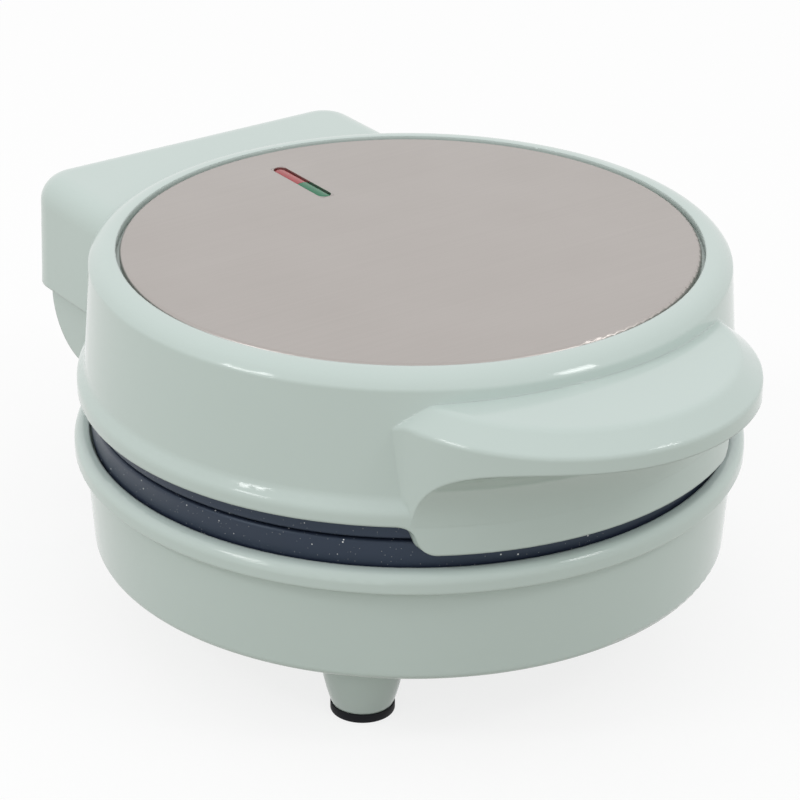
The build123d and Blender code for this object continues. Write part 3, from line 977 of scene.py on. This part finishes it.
@dataclass
class CookingPlates:
    """The two cast plates with the heater and sheet shield behind each."""

    workshop: Workshop

    def build(self) -> None:
        """Dress both plates and what is clamped to them."""
        self.workshop.dress(Slot.NONSTICK, "lower_cooking_plate", "upper_cooking_plate")
        self.workshop.dress(Slot.SHEATH, "lower_heating_element", "upper_heating_element")
        self.workshop.dress(Slot.TIN_PLATE, "lower_heat_shield", "upper_heat_shield")
        self.workshop.dress(Slot.HARDWARE, "upper_plate_screws")
        self.workshop.dress(Slot.CERAMIC, "thermostat", "thermal_fuse")


@dataclass(frozen=True)
class PhotoCamera:
    """Camera at the photograph's viewing angle, for a square picture."""

    azimuth_deg: float = 234.665
    elevation_deg: float = 26.591
    roll_deg: float = 0.342
    distance: float = 1.0221
    target: Triple = (0.0, 0.0, 0.05)
    focal_px: float = 3200.0
    frame_px: float = 800.0
    target_px: tuple[float, float] = (409.50, 455.78)
    sensor_mm: float = 36.0
    reach: float = 20.0

    def axes(self) -> tuple[Vector, Vector, Vector, Vector]:
        """Work out where the camera stands and how it is turned.

        Returns:
            Its place, and its right, up and backward directions.
        """
        back = heading(self.azimuth_deg, self.elevation_deg)
        right = heading(self.azimuth_deg + 90, 0)
        up = back.cross(right)
        place = Vector(self.target) + self.distance * back
        middle = self.frame_px / 2
        across = (self.target_px[0] - middle) / self.focal_px
        down = (self.target_px[1] - middle) / self.focal_px
        forward = (-back - across * right + down * up).normalized()
        level = forward.cross(Vector((0, 0, 1))).normalized()
        upright = level.cross(forward)
        roll = math.radians(self.roll_deg)
        turned_right = math.cos(roll) * level + math.sin(roll) * upright
        turned_up = math.cos(roll) * upright - math.sin(roll) * level
        return place, turned_right, turned_up, -forward

    def build(self) -> None:
        """Set the camera up and make it the scene's own."""
        place, right, up, back = self.axes()
        lens = bpy.data.cameras.new("photo_camera")
        lens.sensor_width = self.sensor_mm
        lens.lens = self.sensor_mm * self.focal_px / self.frame_px
        lens.clip_end = self.reach
        camera = placed("photo_camera", lens)
        turned = Matrix((right, up, back)).transposed().to_4x4()
        camera.matrix_world = Matrix.Translation(place) @ turned
        bpy.context.scene.camera = camera


@dataclass(frozen=True)
class Softbox:
    """Rectangular studio light aimed at the object."""

    name: str
    azimuth_deg: float
    elevation_deg: float
    width: float
    height: float
    watts: float
    distance: float = 1.5
    aim: Triple = (0.0, 0.0, 0.08)

    def build(self) -> None:
        """Hang the light."""
        away = heading(self.azimuth_deg, self.elevation_deg)
        light = bpy.data.lights.new(self.name, "AREA")
        light.shape = "RECTANGLE"
        light.size = self.width
        light.size_y = self.height
        light.energy = self.watts
        lamp = placed(self.name, light)
        lamp.location = Vector(self.aim) + self.distance * away
        lamp.rotation_euler = away.to_track_quat("Z", "Y").to_euler()


@dataclass
class Studio:
    """White sweep, soft lights and the camera."""

    camera: PhotoCamera = field(default_factory=PhotoCamera)
    lights: tuple[Softbox, ...] = (
        Softbox("left_softbox", azimuth_deg=172.0, elevation_deg=40.0, width=0.34, height=0.26, watts=2.4),
        Softbox("low_left_strip", azimuth_deg=182.0, elevation_deg=25.0, width=0.3, height=0.1, watts=0.9),
        Softbox("right_softbox", azimuth_deg=302.0, elevation_deg=42.0, width=0.3, height=0.24, watts=2.0),
    )
    ambient: float = 0.83
    shown_white: float = 1.0
    floor_radius: float = 4.0
    floor_segments: int = 96
    floor_roughness: float = 0.9
    floor_tone: Colour = (1.0, 1.0, 1.0)
    floor_bounce: Colour = (0.38, 0.385, 0.335)
    floor_glow: float = 0.8

    def build(self) -> None:
        """Set up the world, the floor, the lights and the camera."""
        bpy.context.scene.view_settings.view_transform = "Standard"
        self.build_world()
        self.build_floor()
        for light in self.lights:
            light.build()
        self.camera.build()

    @staticmethod
    def seen_directly(tree: bpy.types.NodeTree) -> Socket:
        """Tell rays that show the background from rays that light the object.

        Args:
            tree: Node tree of the world or of the floor's material.

        Returns:
            The socket that is 1 for camera, mirror and see-through rays.
        """
        path = tree.nodes.new("ShaderNodeLightPath")
        total = path.outputs["Is Camera Ray"]
        for name in ("Is Glossy Ray", "Is Transmission Ray"):
            larger = tree.nodes.new("ShaderNodeMath")
            larger.operation = "MAXIMUM"
            tree.links.new(total, larger.inputs[0])
            tree.links.new(path.outputs[name], larger.inputs[1])
            total = larger.outputs["Value"]
        return total

    @staticmethod
    def blend(tree: bpy.types.NodeTree, share: Socket, lighting: Socket, shown: Socket, output: str) -> None:
        """Give one shader to rays that light the object and another to rays that show the background.

        Args:
            tree: Node tree of the world or of the floor's material.
            share: Socket with the second shader's share.
            lighting: Shader that lights the object.
            shown: Shader that is shown.
            output: Name of the tree's output node.
        """
        mix = tree.nodes.new("ShaderNodeMixShader")
        for index, source in enumerate((share, lighting, shown)):
            tree.links.new(source, mix.inputs[index])
        tree.links.new(mix.outputs["Shader"], tree.nodes[output].inputs["Surface"])

    def build_world(self) -> None:
        """Make a world that shows white and lights the object softly."""
        world = bpy.data.worlds.new("white_sweep")
        world.use_nodes = True
        tree = world.node_tree
        soft = tree.nodes["Background"]
        soft.inputs["Color"].default_value = (1, 1, 1, 1)
        soft.inputs["Strength"].default_value = self.ambient
        white = tree.nodes.new("ShaderNodeBackground")
        white.inputs["Color"].default_value = (1, 1, 1, 1)
        white.inputs["Strength"].default_value = self.shown_white
        lighting, shown = soft.outputs["Background"], white.outputs["Background"]
        self.blend(tree, self.seen_directly(tree), lighting, shown, "World Output")
        bpy.context.scene.world = world

    def build_floor(self) -> None:
        """Lay a round pale floor that keeps a faint shadow."""
        disc = bmesh.new()
        bmesh.ops.create_circle(
            disc, cap_ends=True, segments=self.floor_segments, radius=self.floor_radius
        )
        mesh = bpy.data.meshes.new("floor")
        disc.to_mesh(mesh)
        disc.free()
        mesh.materials.append(self.floor_material())
        floor = placed("floor", mesh)

    def floor_material(self) -> bpy.types.Material:
        """Make the floor's finish, which mostly glows where it is seen.

        Returns:
            The material.
        """
        material = bpy.data.materials.new("pale_floor")
        material.use_nodes = True
        tree = material.node_tree
        seen = self.seen_directly(tree)
        tone = tree.nodes.new("ShaderNodeMixRGB")
        tone.inputs["Color1"].default_value = (*self.floor_bounce, 1)
        tone.inputs["Color2"].default_value = (*self.floor_tone, 1)
        tree.links.new(seen, tone.inputs["Fac"])
        matt = tree.nodes["Principled BSDF"]
        tree.links.new(tone.outputs["Color"], matt.inputs["Base Color"])
        matt.inputs["Roughness"].default_value = self.floor_roughness
        matt.inputs["Specular IOR Level"].default_value = 0.0
        glow = tree.nodes.new("ShaderNodeEmission")
        glow.inputs["Strength"].default_value = self.shown_white
        share = tree.nodes.new("ShaderNodeMath")
        share.operation = "MULTIPLY"
        share.inputs[1].default_value = self.floor_glow
        tree.links.new(seen, share.inputs[0])
        lighting, shown = matt.outputs["BSDF"], glow.outputs["Emission"]
        self.blend(tree, share.outputs["Value"], lighting, shown, "Material Output")
        return material


def main() -> None:
    """Load the frame, dress each sub-assembly and light it."""
    logging.basicConfig(level=logging.INFO, format="%(name)s: %(message)s")
    workshop = Workshop(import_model())
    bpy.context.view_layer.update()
    for assembly in (Base(workshop), CookingPlates(workshop), Lid(workshop)):
        assembly.build()
    Studio().build()


if __name__ == "__main__":
    main()
